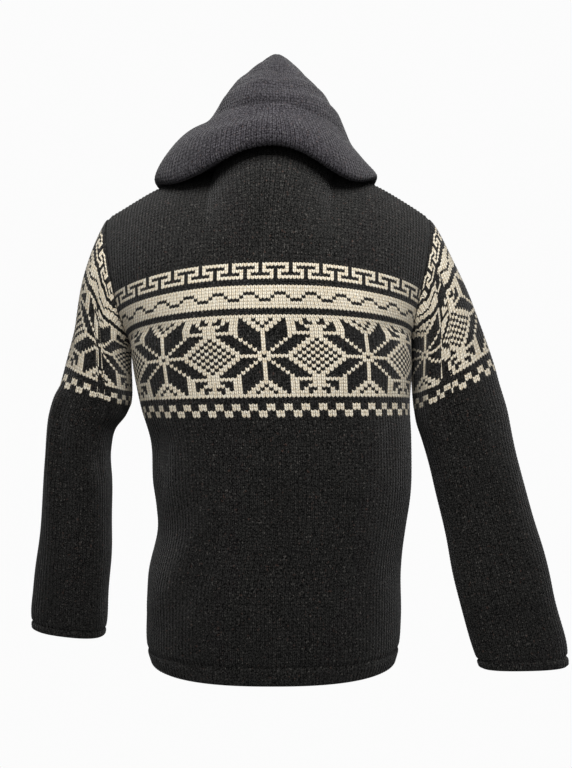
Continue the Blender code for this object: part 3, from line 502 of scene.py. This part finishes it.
def knit(name, outer, inner, yarn, sign, material, tube=False, join=False, first_rows=None):
    """One closed mesh from an outer grid with two steps to a stitch and an inner one with one.

    The face attribute "yarn" is 1 on cream faces, and the UV map "stitch" counts wales and rows."""
    out = fine_and_coarse(outer.shape[:2], tube, join, first_rows)
    coarse_first = None if first_rows is None else first_rows[::2] // 2
    back = fine_and_coarse(inner.shape[:2], tube, join, coarse_first) + outer.shape[0] * outer.shape[1]
    uv_out = np.stack(np.meshgrid(np.arange(out.shape[1]) / 2, np.arange(out.shape[0]) / 2), axis=-1)
    uv_back = np.stack(np.meshgrid(np.arange(back.shape[1]), np.arange(back.shape[0])), axis=-1).astype(float)
    faces = grid_faces(out, uv_out, np.kron(yarn, np.ones((2, 2))))
    banded = yarn.max(axis=1, keepdims=True)
    for quads, places, values in grid_faces(back, uv_back, (1 - yarn) * banded):
        faces.append((quads[:, ::-1], places[:, ::-1], values))

    def rim(line_out, line_back):
        """Faces between the outer and the inner grid's edge, each over two fine steps."""
        corners = [line_out[2::2], line_out[1::2], line_out[:-1:2], line_back[:-1], line_back[1:]]
        return np.stack(corners, axis=-1)

    rims = [rim(out[0], back[0])]
    if not join:
        rims.append(rim(out[-1], back[-1])[:, ::-1])
    if not tube:
        rims.append(rim(out[:, 0], back[:, 0])[:, ::-1])
        rims.append(rim(out[:, -1], back[:, -1]))
    for five in rims:
        faces.append((five, np.zeros((len(five), 5, 2)), np.zeros(len(five))))

    points = np.concatenate([outer.reshape(-1, 3), inner.reshape(-1, 3)])
    used = np.unique(np.concatenate([corner.ravel() for corner, _, _ in faces]))
    renumber = np.zeros(len(points), int)
    renumber[used] = np.arange(len(used))
    lists = []
    for corner, _, _ in faces:
        corner = renumber[corner]
        lists += (corner if sign > 0 else corner[:, ::-1]).tolist()
    mesh = bpy.data.meshes.new(name)
    mesh.from_pydata(points[used].tolist(), [], lists)
    flip = slice(None) if sign > 0 else slice(None, None, -1)
    uv = np.concatenate([places[:, flip].reshape(-1, 2) for _, places, _ in faces])
    layer = mesh.uv_layers.new(name="stitch")
    layer.data.foreach_set("uv", uv.astype(np.float32).ravel())
    cream = mesh.attributes.new("yarn", "FLOAT", "FACE")
    cream.data.foreach_set("value", np.concatenate([v for _, _, v in faces]).astype(np.float32))
    mesh.polygons.foreach_set("use_smooth", np.ones(len(mesh.polygons), bool))
    mesh.materials.append(material)
    mesh.update()
    thing = bpy.data.objects.new(name, mesh)
    bpy.context.scene.collection.objects.link(thing)
    triangles = sum(len(corner) * (corner.shape[1] - 2) for corner, _, _ in faces)
    print(name, yarn.shape, "stitches,", triangles, "triangles")
    return thing


def two_sides(points, height, sign, tube=False, join=False):
    """The outer grid raised by a height along its normals, and the inner one a cloth's thickness behind."""
    normal = outward(points, sign, tube, join)
    outer = points + normal * height[..., None]
    inner = (points - normal * CLOTH)[::2, ::2]
    return outer, inner


def stitch_height(rows, columns, tube=False):
    """The relief of the stitches, lower along the seams."""
    wale = (np.arange(columns) % 2)[None, :] * WALE_RISE
    row = (np.arange(rows) % 2)[:, None] * ROW_RISE
    edge = np.minimum(distance_in(rows)[:, None], distance_in(columns, tube)[None, :])
    return (wale + row) * smoothstep(0, 1.5, edge) - SEAM_DIP * (1 - smoothstep(0, SEAM_REACH, edge))


print("cloth", 1000 * CLOTH, "mm thick, with wales", 1000 * WALE_RISE, "mm proud")

# %% [markdown]
# ## Wool
# The wool's colour comes from noise that runs through space, so that it never repeats. Dark and light fibres
# mix as they do in heather yarn, and a few flecks stand out. The UV map drives the two legs of each stitch,
# as bump and as painted shade, which darkens the colour in the grooves and in a line where one wale meets
# the next.

# %% The wool material
def wool_material(name, dark, light, fleck, fleck_share):
    """Heather wool, whose cream stitches come from the "yarn" attribute."""
    material = bpy.data.materials.new(name)
    material.use_nodes = True
    nodes, links = material.node_tree.nodes, material.node_tree.links
    shader = nodes["Principled BSDF"]
    shader.inputs["Roughness"].default_value = 0.95
    shader.inputs["Specular IOR Level"].default_value = 0.03
    shader.inputs["Sheen Weight"].default_value = 0.10
    shader.inputs["Sheen Roughness"].default_value = 0.4

    def node(kind, **settings):
        made = nodes.new(kind)
        for key, value in settings.items():
            setattr(made, key, value)
        return made

    def maths(operation, a, b=None):
        made = node("ShaderNodeMath", operation=operation)
        for socket, value in zip(made.inputs, (a, b)):
            if isinstance(value, (int, float)):
                socket.default_value = value
            elif value is not None:
                links.new(value, socket)
        return made.outputs[0]

    def wave(value, humps):
        """The size of a sine, with so many humps to one unit of the value."""
        return maths("ABSOLUTE", maths("SINE", maths("MULTIPLY", value, humps * math.pi)))

    def mix(factor, a, b):
        made = node("ShaderNodeMix", data_type="RGBA")
        for socket, value in ((made.inputs[0], factor), (made.inputs[6], a), (made.inputs[7], b)):
            if isinstance(value, (int, float)):
                socket.default_value = value
            elif isinstance(value, tuple):
                socket.default_value = (*value, 1)
            else:
                links.new(value, socket)
        return made.outputs[2]

    def noise(scale, detail, low, high):
        made = node("ShaderNodeTexNoise")
        made.inputs["Scale"].default_value = scale
        made.inputs["Detail"].default_value = detail
        links.new(place.outputs["Object"], made.inputs["Vector"])
        ramp = node("ShaderNodeMapRange")
        links.new(made.outputs["Fac"], ramp.inputs["Value"])
        ramp.inputs["From Min"].default_value = low
        ramp.inputs["From Max"].default_value = high
        return ramp.outputs["Result"]

    place = node("ShaderNodeTexCoord")
    uv = node("ShaderNodeUVMap", uv_map="stitch")
    split = node("ShaderNodeSeparateXYZ")
    links.new(uv.outputs["UV"], split.inputs["Vector"])
    leg = wave(split.outputs["X"], 2)
    row = wave(split.outputs["Y"], 1)
    leg = maths("POWER", maths("MULTIPLY", leg, maths("POWER", row, 0.5)), 0.7)
    fuzz = noise(1400, 2, 0.3, 0.7)
    height = maths("ADD", leg, maths("MULTIPLY", fuzz, 0.45))
    bump = node("ShaderNodeBump")
    bump.inputs["Strength"].default_value = 0.9
    bump.inputs["Distance"].default_value = 0.0008
    links.new(height, bump.inputs["Height"])
    links.new(bump.outputs["Normal"], shader.inputs["Normal"])

    fibre = noise(520, 3, 0.38, 0.62)
    cloudy = noise(14, 2, 0.3, 0.7)
    charcoal = mix(fibre, dark, light)
    charcoal = mix(maths("MULTIPLY", noise(330, 1, 0.66, 0.72), fleck_share), charcoal, fleck)
    charcoal = mix(maths("MULTIPLY", noise(260, 1, 0.69, 0.73), 0.35), charcoal, RUST)
    cream = mix(fibre, CREAM_LOW, CREAM_HIGH)
    yarn = node("ShaderNodeAttribute", attribute_name="yarn")
    colour = mix(yarn.outputs["Fac"], charcoal, cream)
    # Painted shade: the colour is darkened in the grooves between the legs and rows of each stitch, and in a
    # line between wales, where the relief lies in shade. The cloudy noise adds the wool's own uneven tone.
    groove = maths("ADD", maths("MULTIPLY", leg, 0.6), 0.4)
    wale = maths("POWER", wave(split.outputs["X"], 1), 0.6)
    groove =maths("MULTIPLY", groove, maths("ADD", maths("MULTIPLY", wale, 0.55), 0.45))
    painted_shade_and_tone = maths("MULTIPLY", groove, maths("ADD", maths("MULTIPLY", cloudy, 0.14), 0.93))
    scale = node("ShaderNodeVectorMath", operation="SCALE")
    links.new(colour, scale.inputs[0])
    links.new(painted_shade_and_tone, scale.inputs["Scale"])
    links.new(scale.outputs["Vector"], shader.inputs["Base Color"])
    return material


CREAM_LOW = (0.72, 0.60, 0.42)
CREAM_HIGH = (0.95, 0.89, 0.75)
RUST = (0.11, 0.055, 0.04)  # of a few single fibres
body_wool = wool_material(
    "body wool",
    dark=(0.0015, 0.0015, 0.0014),
    light=(0.038, 0.037, 0.035),
    fleck=(0.17, 0.16, 0.145),
    fleck_share=0.45,
)
hood_wool = wool_material(
    "hood wool",
    dark=(0.020, 0.0185, 0.0215),
    light=(0.094, 0.089, 0.098),
    fleck=(0.22, 0.21, 0.20),
    fleck_share=0.4,
)
print("materials", body_wool.name, "and", hood_wool.name)

# %% [markdown]
# ## The body
# The back and the two fronts are panels from the hem to the shoulder and neck. Rows are counted down from the
# first patterned row, so that the yoke has negative ones. The hem is turned up and sewn down, which leaves a
# groove a few centimetres above the edge.

# %% The body panels
WALES_HALF = 48  # from the centre back to the side seam
WALES_FRONT = 46  # from the zip to the side seam
ROWS_LOW = 129  # from the top of the pattern to the hem
ROWS_HIGH = 38  # from there up to the shoulder
HEM_LINE = 123.2  # the row of the sewn line
STAR_AT = 1  # the wale of the middle star's spine, to the wearer's left of the centre
TURNED_RISE = 0.0012  # of the doubled cloth below a sewn line
TURNED_GROOVE = 0.0022  # at the sewn line
TURNED_DIP = 0.0010  # at the very edge, where the cloth turns in
UNEVEN = 0.0006  # the size of the slow waves in the body and sleeves
HAIR = 1e-12  # keeps the centre edge of the right front on the wearer's right


def rise_of(row):
    """A panel's rise for a row counted down from the top of the pattern."""
    return np.where(row > 0, 1 - row / ROWS_LOW, 1 - row / ROWS_HIGH)


def body_panel(side, across):
    """A panel on the stitch grid, with every second column moved down to make the Vs, and its fine rows."""
    rows = np.arange(-2 * ROWS_HIGH, 2 * ROWS_LOW + 1) / 2
    near = np.clip(np.minimum(rows + ROWS_HIGH, ROWS_LOW - rows), 0, 1)
    low = np.clip(rows + V_DEPTH * near, -ROWS_HIGH, ROWS_LOW)
    straight = panel(side, across, rise_of(rows))
    moved = panel(side, across, rise_of(low))
    odd = (np.arange(len(across)) % 2 == 1)[None, :, None]
    return np.where(odd, moved, straight), rows


def turned_edge(rows, line, last):
    """The relief of a turned edge: a groove at the sewn line and a fuller band below it."""
    fuller = TURNED_RISE * smoothstep(line, line + 1.5, rows)
    groove = TURNED_GROOVE * np.exp(-(((rows - line) / 0.7) ** 2))
    return fuller - groove - TURNED_DIP * smoothstep(last - 1, last, rows)


def low_waves(points, size):
    """Slow, soft unevenness, as worn cloth has: three sine waves in different directions."""
    x, y, z = points[..., 0], points[..., 1], points[..., 2]
    slow = np.sin(19 * x + 31 * z + 1.1)
    sideways = np.sin(43 * x - 17 * z + 9 * y)
    upwards = np.sin(11 * x + 61 * z + 2.3) * 0.6
    return (slow + sideways + upwards) * size


# Smaller folds of the back, in the same way as the largest ones
CREASES = (
    (0.163, -0.330, 0.158, -0.420, -0.0030, 0.010),
    (-0.165, -0.330, -0.160, -0.420, -0.0030, 0.012),
    (0.120, -0.255, 0.175, -0.235, -0.0025, 0.012),
    (-0.120, -0.250, -0.175, -0.232, -0.0025, 0.012),
    (0.060, -0.560, 0.110, -0.640, 0.0025, 0.014),
    (-0.020, -0.430, -0.060, -0.560, 0.0020, 0.026),
    (-0.070, -0.420, -0.130, -0.470, 0.0020, 0.020),
)
steps_half = np.arange(0, 2 * WALES_HALF + 1) / (2 * WALES_HALF)
steps_front = np.arange(0, 2 * WALES_FRONT + 1) / (2 * WALES_FRONT)
cloth = {}
for name, side, across in (
    ("back", 1, np.concatenate([-steps_half[:0:-1], steps_half])),
    ("front_left", -1, steps_front),
    ("front_right", -1, -steps_front[::-1] - HAIR),
):
    points, rows = body_panel(side, across)
    count = (len(across) - 1) // 2
    # Wales are counted round the body from the star's spine, so that the pattern goes on past the side seams
    if name == "back":
        wales = STAR_AT - (np.arange(count) - WALES_HALF)
    elif name == "front_left":
        wales = STAR_AT - (WALES_HALF + WALES_FRONT - 1 - np.arange(count))
    else:
        wales = STAR_AT + WALES_HALF + 1 + np.arange(count)
    yarn = yarn_of(np.arange(-ROWS_HIGH, ROWS_LOW), wales)
    height = stitch_height(len(rows), len(across)) + turned_edge(rows, HEM_LINE, ROWS_LOW)[:, None]
    fade = 1 - smoothstep(0.9, 1.0, np.abs(across))
    soft = low_waves(points, UNEVEN) * smoothstep(0, 6, distance_in(len(across)))[None, :]
    soft = soft * smoothstep(0, 6, distance_in(len(rows)))[:, None]
    if name == "back":
        soft = soft + relief(BACK_FOLDS + CREASES, points[..., 0], points[..., 2]) * fade
    outer, inner = two_sides(points, height + soft, side)
    cloth[name] = knit(name + "_knit", outer, inner, yarn, side, body_wool)

# %% [markdown]
# ## The sleeves
# A sleeve's knitted rows start along its armhole seam: just above the pattern at the shoulder, then on the
# same row as the body beside it, so that the bands meet. The grid is trimmed to that line: above its start, a
# column repeats its first vertex, and the faces that have shrunk to nothing are left out.

# %% The sleeves
WALES_SLEEVE = 64  # all the way round
TOP_ROW = -4  # the first row at the shoulder, counted from the top of the pattern
CUFF_LINE = 135.0  # the row of the sewn line
EVEN_ROW = 56.0  # the row at which all stitches round a sleeve are equally wide
ROW_DEGREES = 1.6  # what one row counts for in a fold's breadth, which makes folds longer than broad
armpit_row = (BAND_TOP - ARMPIT) / (BAND_TOP - TORSO[0][0]) * ROWS_LOW
LEFT_CREASES = (
    (30, 20, 44, 60, -0.0020, 10),
    (60, 120, 74, 150, -0.0030, 10),
    (64, 95, 90, 130, 0.0020, 12),
    (98, 40, 112, 110, 0.0015, 12),
)
RIGHT_CREASES = (
    (30, 40, 50, 80, -0.0020, 12),
    (46, 70, 80, 100, 0.0025, 12),
    (118, 20, 121, 150, -0.0020, 9),
    (84, 50, 100, 120, 0.0015, 12),
)


def even_angles(table, count):
    """Angles round a sleeve at equal lengths: the inverse of the length round one of its rows."""
    fine = np.linspace(0, 360, 1441)
    ring = sleeve_section(table, fine, EVEN_ROW)
    length = np.concatenate([[0], np.cumsum(np.linalg.norm(np.diff(ring, axis=0), axis=-1))])
    return np.interp(np.arange(count) / count * length[-1], length, fine)


# star is where a star's spine runs down the sleeve, in degrees round it
mirror = np.array([-1.0, 1.0, 1.0])
for name, table, folds, creases, sign, star in (
    ("sleeve_left", SLEEVE_LEFT, LEFT_FOLDS, LEFT_CREASES, 1, 106),
    ("sleeve_right", SLEEVE_RIGHT, RIGHT_FOLDS, RIGHT_CREASES, -1, 15),
):
    angles = even_angles(table, 2 * WALES_SLEEVE)
    # The armhole, from the edges of the back and the front panel
    down = np.minimum(angles, 360 - angles) / 180
    order = np.argsort(down)
    edge = np.array([float(sign)])
    behind = panel(1, edge, armhole_rise(down[order]))[:, 0]
    before = panel(-1, edge, armhole_rise(down[order]))[:, 0]
    hole = np.zeros((len(angles), 3))
    hole[order] = np.where((angles[order] <= 180)[:, None], behind, before)
    hole = hole * mirror if sign < 0 else hole
    foot, last = table[0][0], table[-1][0]
    # The row on which each column starts, and how far along the sleeve each fine row is
    start = np.interp(down, [0, YOKE_SHARE, 1], [TOP_ROW, 0, armpit_row])
    first_rows = 2 * np.round(start - TOP_ROW).astype(int)
    first_rows[1::2] = np.maximum(first_rows[:-1:2], np.roll(first_rows, -1)[1::2])
    rows = np.arange(2 * TOP_ROW, 2 * last + 1) / 2
    fine = rows[:, None] + 0 * angles[None, :]
    begun = first_rows / 2 + TOP_ROW
    near = np.clip(np.minimum(fine - begun, last - fine), 0, 1)
    fine = fine + V_DEPTH * near * (np.arange(len(angles)) % 2)[None, :]
    share = np.where(fine > foot, 1 + (fine - foot) / (last - foot), (fine - begun) / (foot - begun))
    points = sleeve(table, SPREAD[name], hole, angles, np.clip(share, 0, 2))
    # Folds by degrees first, then stitches, which are drawn in along the armhole and not along the grid's top
    swapped = [(a0, r0, a1, r1, h, b) for r0, a0, r1, a1, h, b in folds + creases]
    height = relief(swapped, angles + 0 * fine, fine, ROW_DEGREES) * smoothstep(0, 0.3, share)
    points = points * mirror if sign < 0 else points
    stitches = stitch_height(len(rows), len(angles), True)
    stitches = stitches + SEAM_DIP * (1 - smoothstep(TOP_ROW, TOP_ROW + 2, fine))
    stitches = stitches - SEAM_DIP * (1 - smoothstep(0, SEAM_REACH, fine - begun))
    height = height + stitches + turned_edge(fine, CUFF_LINE, last)
    height = height + low_waves(points, UNEVEN) * smoothstep(0, 6, fine - begun)
    outer, inner = two_sides(points, height, -sign, True)
    middle = int(np.argmin(np.abs(angles - star))) // 2
    wales = (np.arange(WALES_SLEEVE) - middle) * sign
    yarn = yarn_of(np.arange(TOP_ROW, last), wales)
    cloth[name] = knit(name + "_knit", outer, inner, yarn, -sign, body_wool, tube=True, first_rows=first_rows)

# %% [markdown]
# ## The hood
# The hood is knitted from the neck up, slumps into a roll and ends in a point. Its rings are spaced by their
# real distance, so that every row is equally tall. Its last row folds onto itself, which closes the top seam.

# %% The hood
WALES_HOOD = 55  # on each side
ROWS_HOOD = 66
NECK_TUCK = 1.2  # rows by which the first one is tucked in behind the neck seam
EVEN_LEVEL = 0.42  # the level at which all stitches round the hood are equally wide
LEVEL_DEGREES = 120  # how many degrees round the hood are about as long as all its levels
HOOD_CREASES = (
    (50, 0.42, -40, 0.38, -0.0040, 5),
    (30, 0.56, -70, 0.58, 0.0035, 5),
    (55, 0.70, -10, 0.73, -0.0040, 5),
    (15, 0.66, -60, 0.70, 0.0035, 5),
    (50, 0.80, 20, 0.90, 0.0030, 5),
    (-20, 0.88, -60, 0.86, -0.0025, 5),
    (70, 0.30, 20, 0.34, 0.0030, 6),
)
ring_turns = np.linspace(0, HOOD_TURN, 400)
ring = hood_ring(ring_turns, np.full(400, EVEN_LEVEL))
ring_length = np.concatenate([[0], np.cumsum(np.linalg.norm(np.diff(ring, axis=0), axis=-1))])
turns = np.interp(np.linspace(0, ring_length[-1], 2 * WALES_HOOD + 1), ring_length, ring_turns)
turns = np.concatenate([-turns[:0:-1], turns])
fine_levels = np.linspace(0, 1, 500)
climb = [hood_ring(np.full(500, float(angle)), fine_levels) for angle in (0, 60, -60)]
climb = sum(np.linalg.norm(np.diff(line, axis=0), axis=-1) for line in climb) / 3
climb = np.concatenate([[0], np.cumsum(climb)])
steps = np.arange(2 * ROWS_HOOD + 1) / 2
near = np.clip(np.minimum(steps, ROWS_HOOD - steps), 0, 1)
odd = (np.arange(len(turns)) % 2)[None, :]
at_step = steps[:, None] - V_DEPTH * near[:, None] * odd
levels = np.interp(at_step * climb[-1] / ROWS_HOOD, climb, fine_levels)
points = hood_ring(turns + 0 * levels, levels)
points[0] += (points[0] - points[2]) * NECK_TUCK
height = relief(HOOD_FOLDS + HOOD_CREASES, turns + 0 * levels, levels, LEVEL_DEGREES)
height = height * smoothstep(0, 0.15, levels) * (1 - smoothstep(0.85, 1, levels))
uneven = low_waves(points * 1.6, 0.0009) * smoothstep(0.1, 0.3, levels)
height = height + stitch_height(len(steps), len(turns)) + uneven
height = height * (1 - smoothstep(0.97, 1, levels))
outer, inner = two_sides(points, height, -1, join=True)
yarn = np.zeros((ROWS_HOOD, 2 * WALES_HOOD))
cloth["hood"] = knit("hood_knit", outer, inner, yarn, -1, hood_wool, join=True)

# %% [markdown]
# ## The zip
# The chain is two rows of teeth that take turns across the middle. Each tooth is a small box on the chain's
# line, which comes from the CAD node's own vertices.

# %% The zip's teeth
TOOTH = (0.0030, 0.0022, 0.0014)  # across, deep and tall
PITCH = 0.0021  # from one tooth to the next, which is on the other tape
ASIDE = 0.0009  # how far a tooth stands to its own side
CORE = (0.0033, 0.0006, 1)  # half across and half deep, and its line gives its height
chain = np.array([v.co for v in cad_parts["zip_chain"].data.vertices], float)


def middle_line(points):
    """Places evenly spaced along the chain: the mean of its vertices in short bands of height."""
    bands = np.linspace(points[:, 2].min(), points[:, 2].max(), 40)
    which = np.digitize(points[:, 2], bands)
    mean = np.array([points[which == band].mean(axis=0) for band in np.unique(which)])
    mean[:, 0] = 0
    mean = mean[np.argsort(mean[:, 2])]
    length = np.concatenate([[0], np.cumsum(np.linalg.norm(np.diff(mean, axis=0), axis=-1))])
    at = np.linspace(0.002, length[-1] - 0.001, int(length[-1] / PITCH))
    return np.stack([np.interp(at, length, mean[:, i]) for i in range(3)], axis=-1)


line = middle_line(chain)
box = np.array([(x, y, z) for x in (-0.5, 0.5) for y in (-0.5, 0.5) for z in (-0.5, 0.5)]) * TOOTH
shift = np.where(np.arange(len(line)) % 2 == 0, -ASIDE, ASIDE)
teeth_points = line[:, None] + box[None]
teeth_points[..., 0] += shift[:, None]
box_faces = np.array([(0, 1, 3, 2), (4, 6, 7, 5), (0, 4, 5, 1), (2, 3, 7, 6), (0, 2, 6, 4), (1, 5, 7, 3)])
teeth_faces = (box_faces[None] + 8 * np.arange(len(line))[:, None, None]).reshape(-1, 4)
mesh = bpy.data.meshes.new("zip_teeth")
mesh.from_pydata(teeth_points.reshape(-1, 3).tolist(), [], teeth_faces.tolist())
teeth = bpy.data.objects.new("zip_teeth", mesh)
bpy.context.scene.collection.objects.link(teeth)
print(len(line), "teeth")


def plain_material(name, colour, roughness, metallic):
    """A Principled material with one colour, a little rougher where noise is high."""
    material = bpy.data.materials.new(name)
    material.use_nodes = True
    nodes, links = material.node_tree.nodes, material.node_tree.links
    shader = nodes["Principled BSDF"]
    shader.inputs["Base Color"].default_value = (*colour, 1)
    shader.inputs["Metallic"].default_value = metallic
    place = nodes.new("ShaderNodeTexCoord")
    texture = nodes.new("ShaderNodeTexNoise")
    texture.inputs["Scale"].default_value = 600
    ramp = nodes.new("ShaderNodeMapRange")
    ramp.inputs["To Min"].default_value = roughness - 0.08
    ramp.inputs["To Max"].default_value = roughness + 0.08
    links.new(place.outputs["Object"], texture.inputs["Vector"])
    links.new(texture.outputs["Fac"], ramp.inputs["Value"])
    links.new(ramp.outputs["Result"], shader.inputs["Roughness"])
    return material


metal = plain_material("dull nickel", (0.55, 0.54, 0.52), 0.38, 1.0)
tape = plain_material("zip tape", (0.012, 0.012, 0.013), 0.85, 0.0)
mesh.materials.append(metal)

# The woven core that the teeth grip closes the slit between the tapes. It is a flat tube along their line.
around = np.array([(-1, -1, 0), (1, -1, 0), (1, 1, 0), (-1, 1, 0)]) * CORE
core_points = (line[:, None] + around[None]).reshape(-1, 3)
below = 4 * np.arange(len(line) - 1)[:, None] + np.arange(4)[None]
beside = 4 * np.arange(len(line) - 1)[:, None] + (np.arange(4)[None] + 1) % 4
core_faces = np.stack([below, beside, beside + 4, below + 4], axis=-1).reshape(-1, 4).tolist()
core_faces += [(3, 2, 1, 0), tuple(range(len(core_points) - 4, len(core_points)))]
core_mesh = bpy.data.meshes.new("zip_core")
core_mesh.from_pydata(core_points.tolist(), [], core_faces)
core_mesh.materials.append(tape)
core = bpy.data.objects.new("zip_core", core_mesh)
bpy.context.scene.collection.objects.link(core)
print("zip core with", len(core_faces), "faces")

for node, material in (
    ("zip_slider", metal),
    ("zip_pull_tab", metal),
    ("zip_tape_left", tape),
    ("zip_tape_right", tape),
):
    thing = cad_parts[node]
    thing.data.materials.clear()
    thing.data.materials.append(material)

# %% [markdown]
# ## What rides on what
# Every piece of cloth rides on the garment and stands for its CAD node.

# %% Rides
for name, piece in cloth.items():
    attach(piece, "garment")
    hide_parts(name)
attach(teeth, "garment")
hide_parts("zip_chain")
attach(core, "garment")

# %% [markdown]
# ## Studio
# The backdrop is plain white. The key light hangs above and behind the wearer, a large weak fill shines from
# behind the camera, and a third lamp lights the wearer's front. The camera stands behind the garment, about
# a metre away and a little below its middle.

# %% Floor, light and camera
scene = bpy.context.scene
bpy.ops.mesh.primitive_plane_add(size=1.6, location=(0, 0.1, -1.30))
floor = bpy.context.object
floor.name = "floor"
floor.data.materials.append(plain_material("pale floor", (0.85, 0.85, 0.85), 0.7, 0.0))

world = bpy.data.worlds.new("studio")
scene.world = world
world.use_nodes = True
tree = world.node_tree
background = tree.nodes["Background"]
background.inputs["Color"].default_value = (0.97, 0.98, 1.0, 1)
background.inputs["Strength"].default_value = 0.20
seen = tree.nodes.new("ShaderNodeBackground")
seen.inputs["Color"].default_value = (1, 1, 1, 1)
seen.inputs["Strength"].default_value = 0.97
path = tree.nodes.new("ShaderNodeLightPath")
either = tree.nodes.new("ShaderNodeMixShader")
tree.links.new(path.outputs["Is Camera Ray"], either.inputs["Fac"])
tree.links.new(background.outputs["Background"], either.inputs[1])
tree.links.new(seen.outputs["Background"], either.inputs[2])
tree.links.new(either.outputs["Shader"], tree.nodes["World Output"].inputs["Surface"])


def area_light(name, place, target, size, power):
    """A square light that faces a target. The camera doesn't see the lamp itself, only its light."""
    light = bpy.data.lights.new(name, "AREA")
    light.size = size
    light.energy = power
    thing = bpy.data.objects.new(name, light)
    scene.collection.objects.link(thing)
    thing.location = place
    thing.visible_camera = False
    direction = np.array(target, float) - np.array(place, float)
    thing.rotation_euler = Vector(direction).to_track_quat("-Z", "Y").to_euler()
    return thing


area_light("key", (-0.1, 0.88, 0.62), (0, 0, -0.1), 0.8, 26)
area_light("fill", (0.5, 2.2, 0.0), (0, 0, -0.4), 2.0, 3.5)
area_light("front", (0.4, -1.8, 0.9), (0, 0, -0.3), 1.6, 20)

camera_data = bpy.data.cameras.new("camera")
camera = bpy.data.objects.new("camera", camera_data)
scene.collection.objects.link(camera)
camera.location = (-0.0185, 1.05, -0.335)
camera.rotation_euler = (math.radians(91.33), 0, math.radians(180))
camera_data.lens = 32.34
camera_data.sensor_width = 36
camera_data.dof.use_dof = False
scene.camera = camera
scene.view_settings.view_transform = "Standard"

# %% [markdown]
# ## Finish

# %% Finish
bpy.context.view_layer.update()
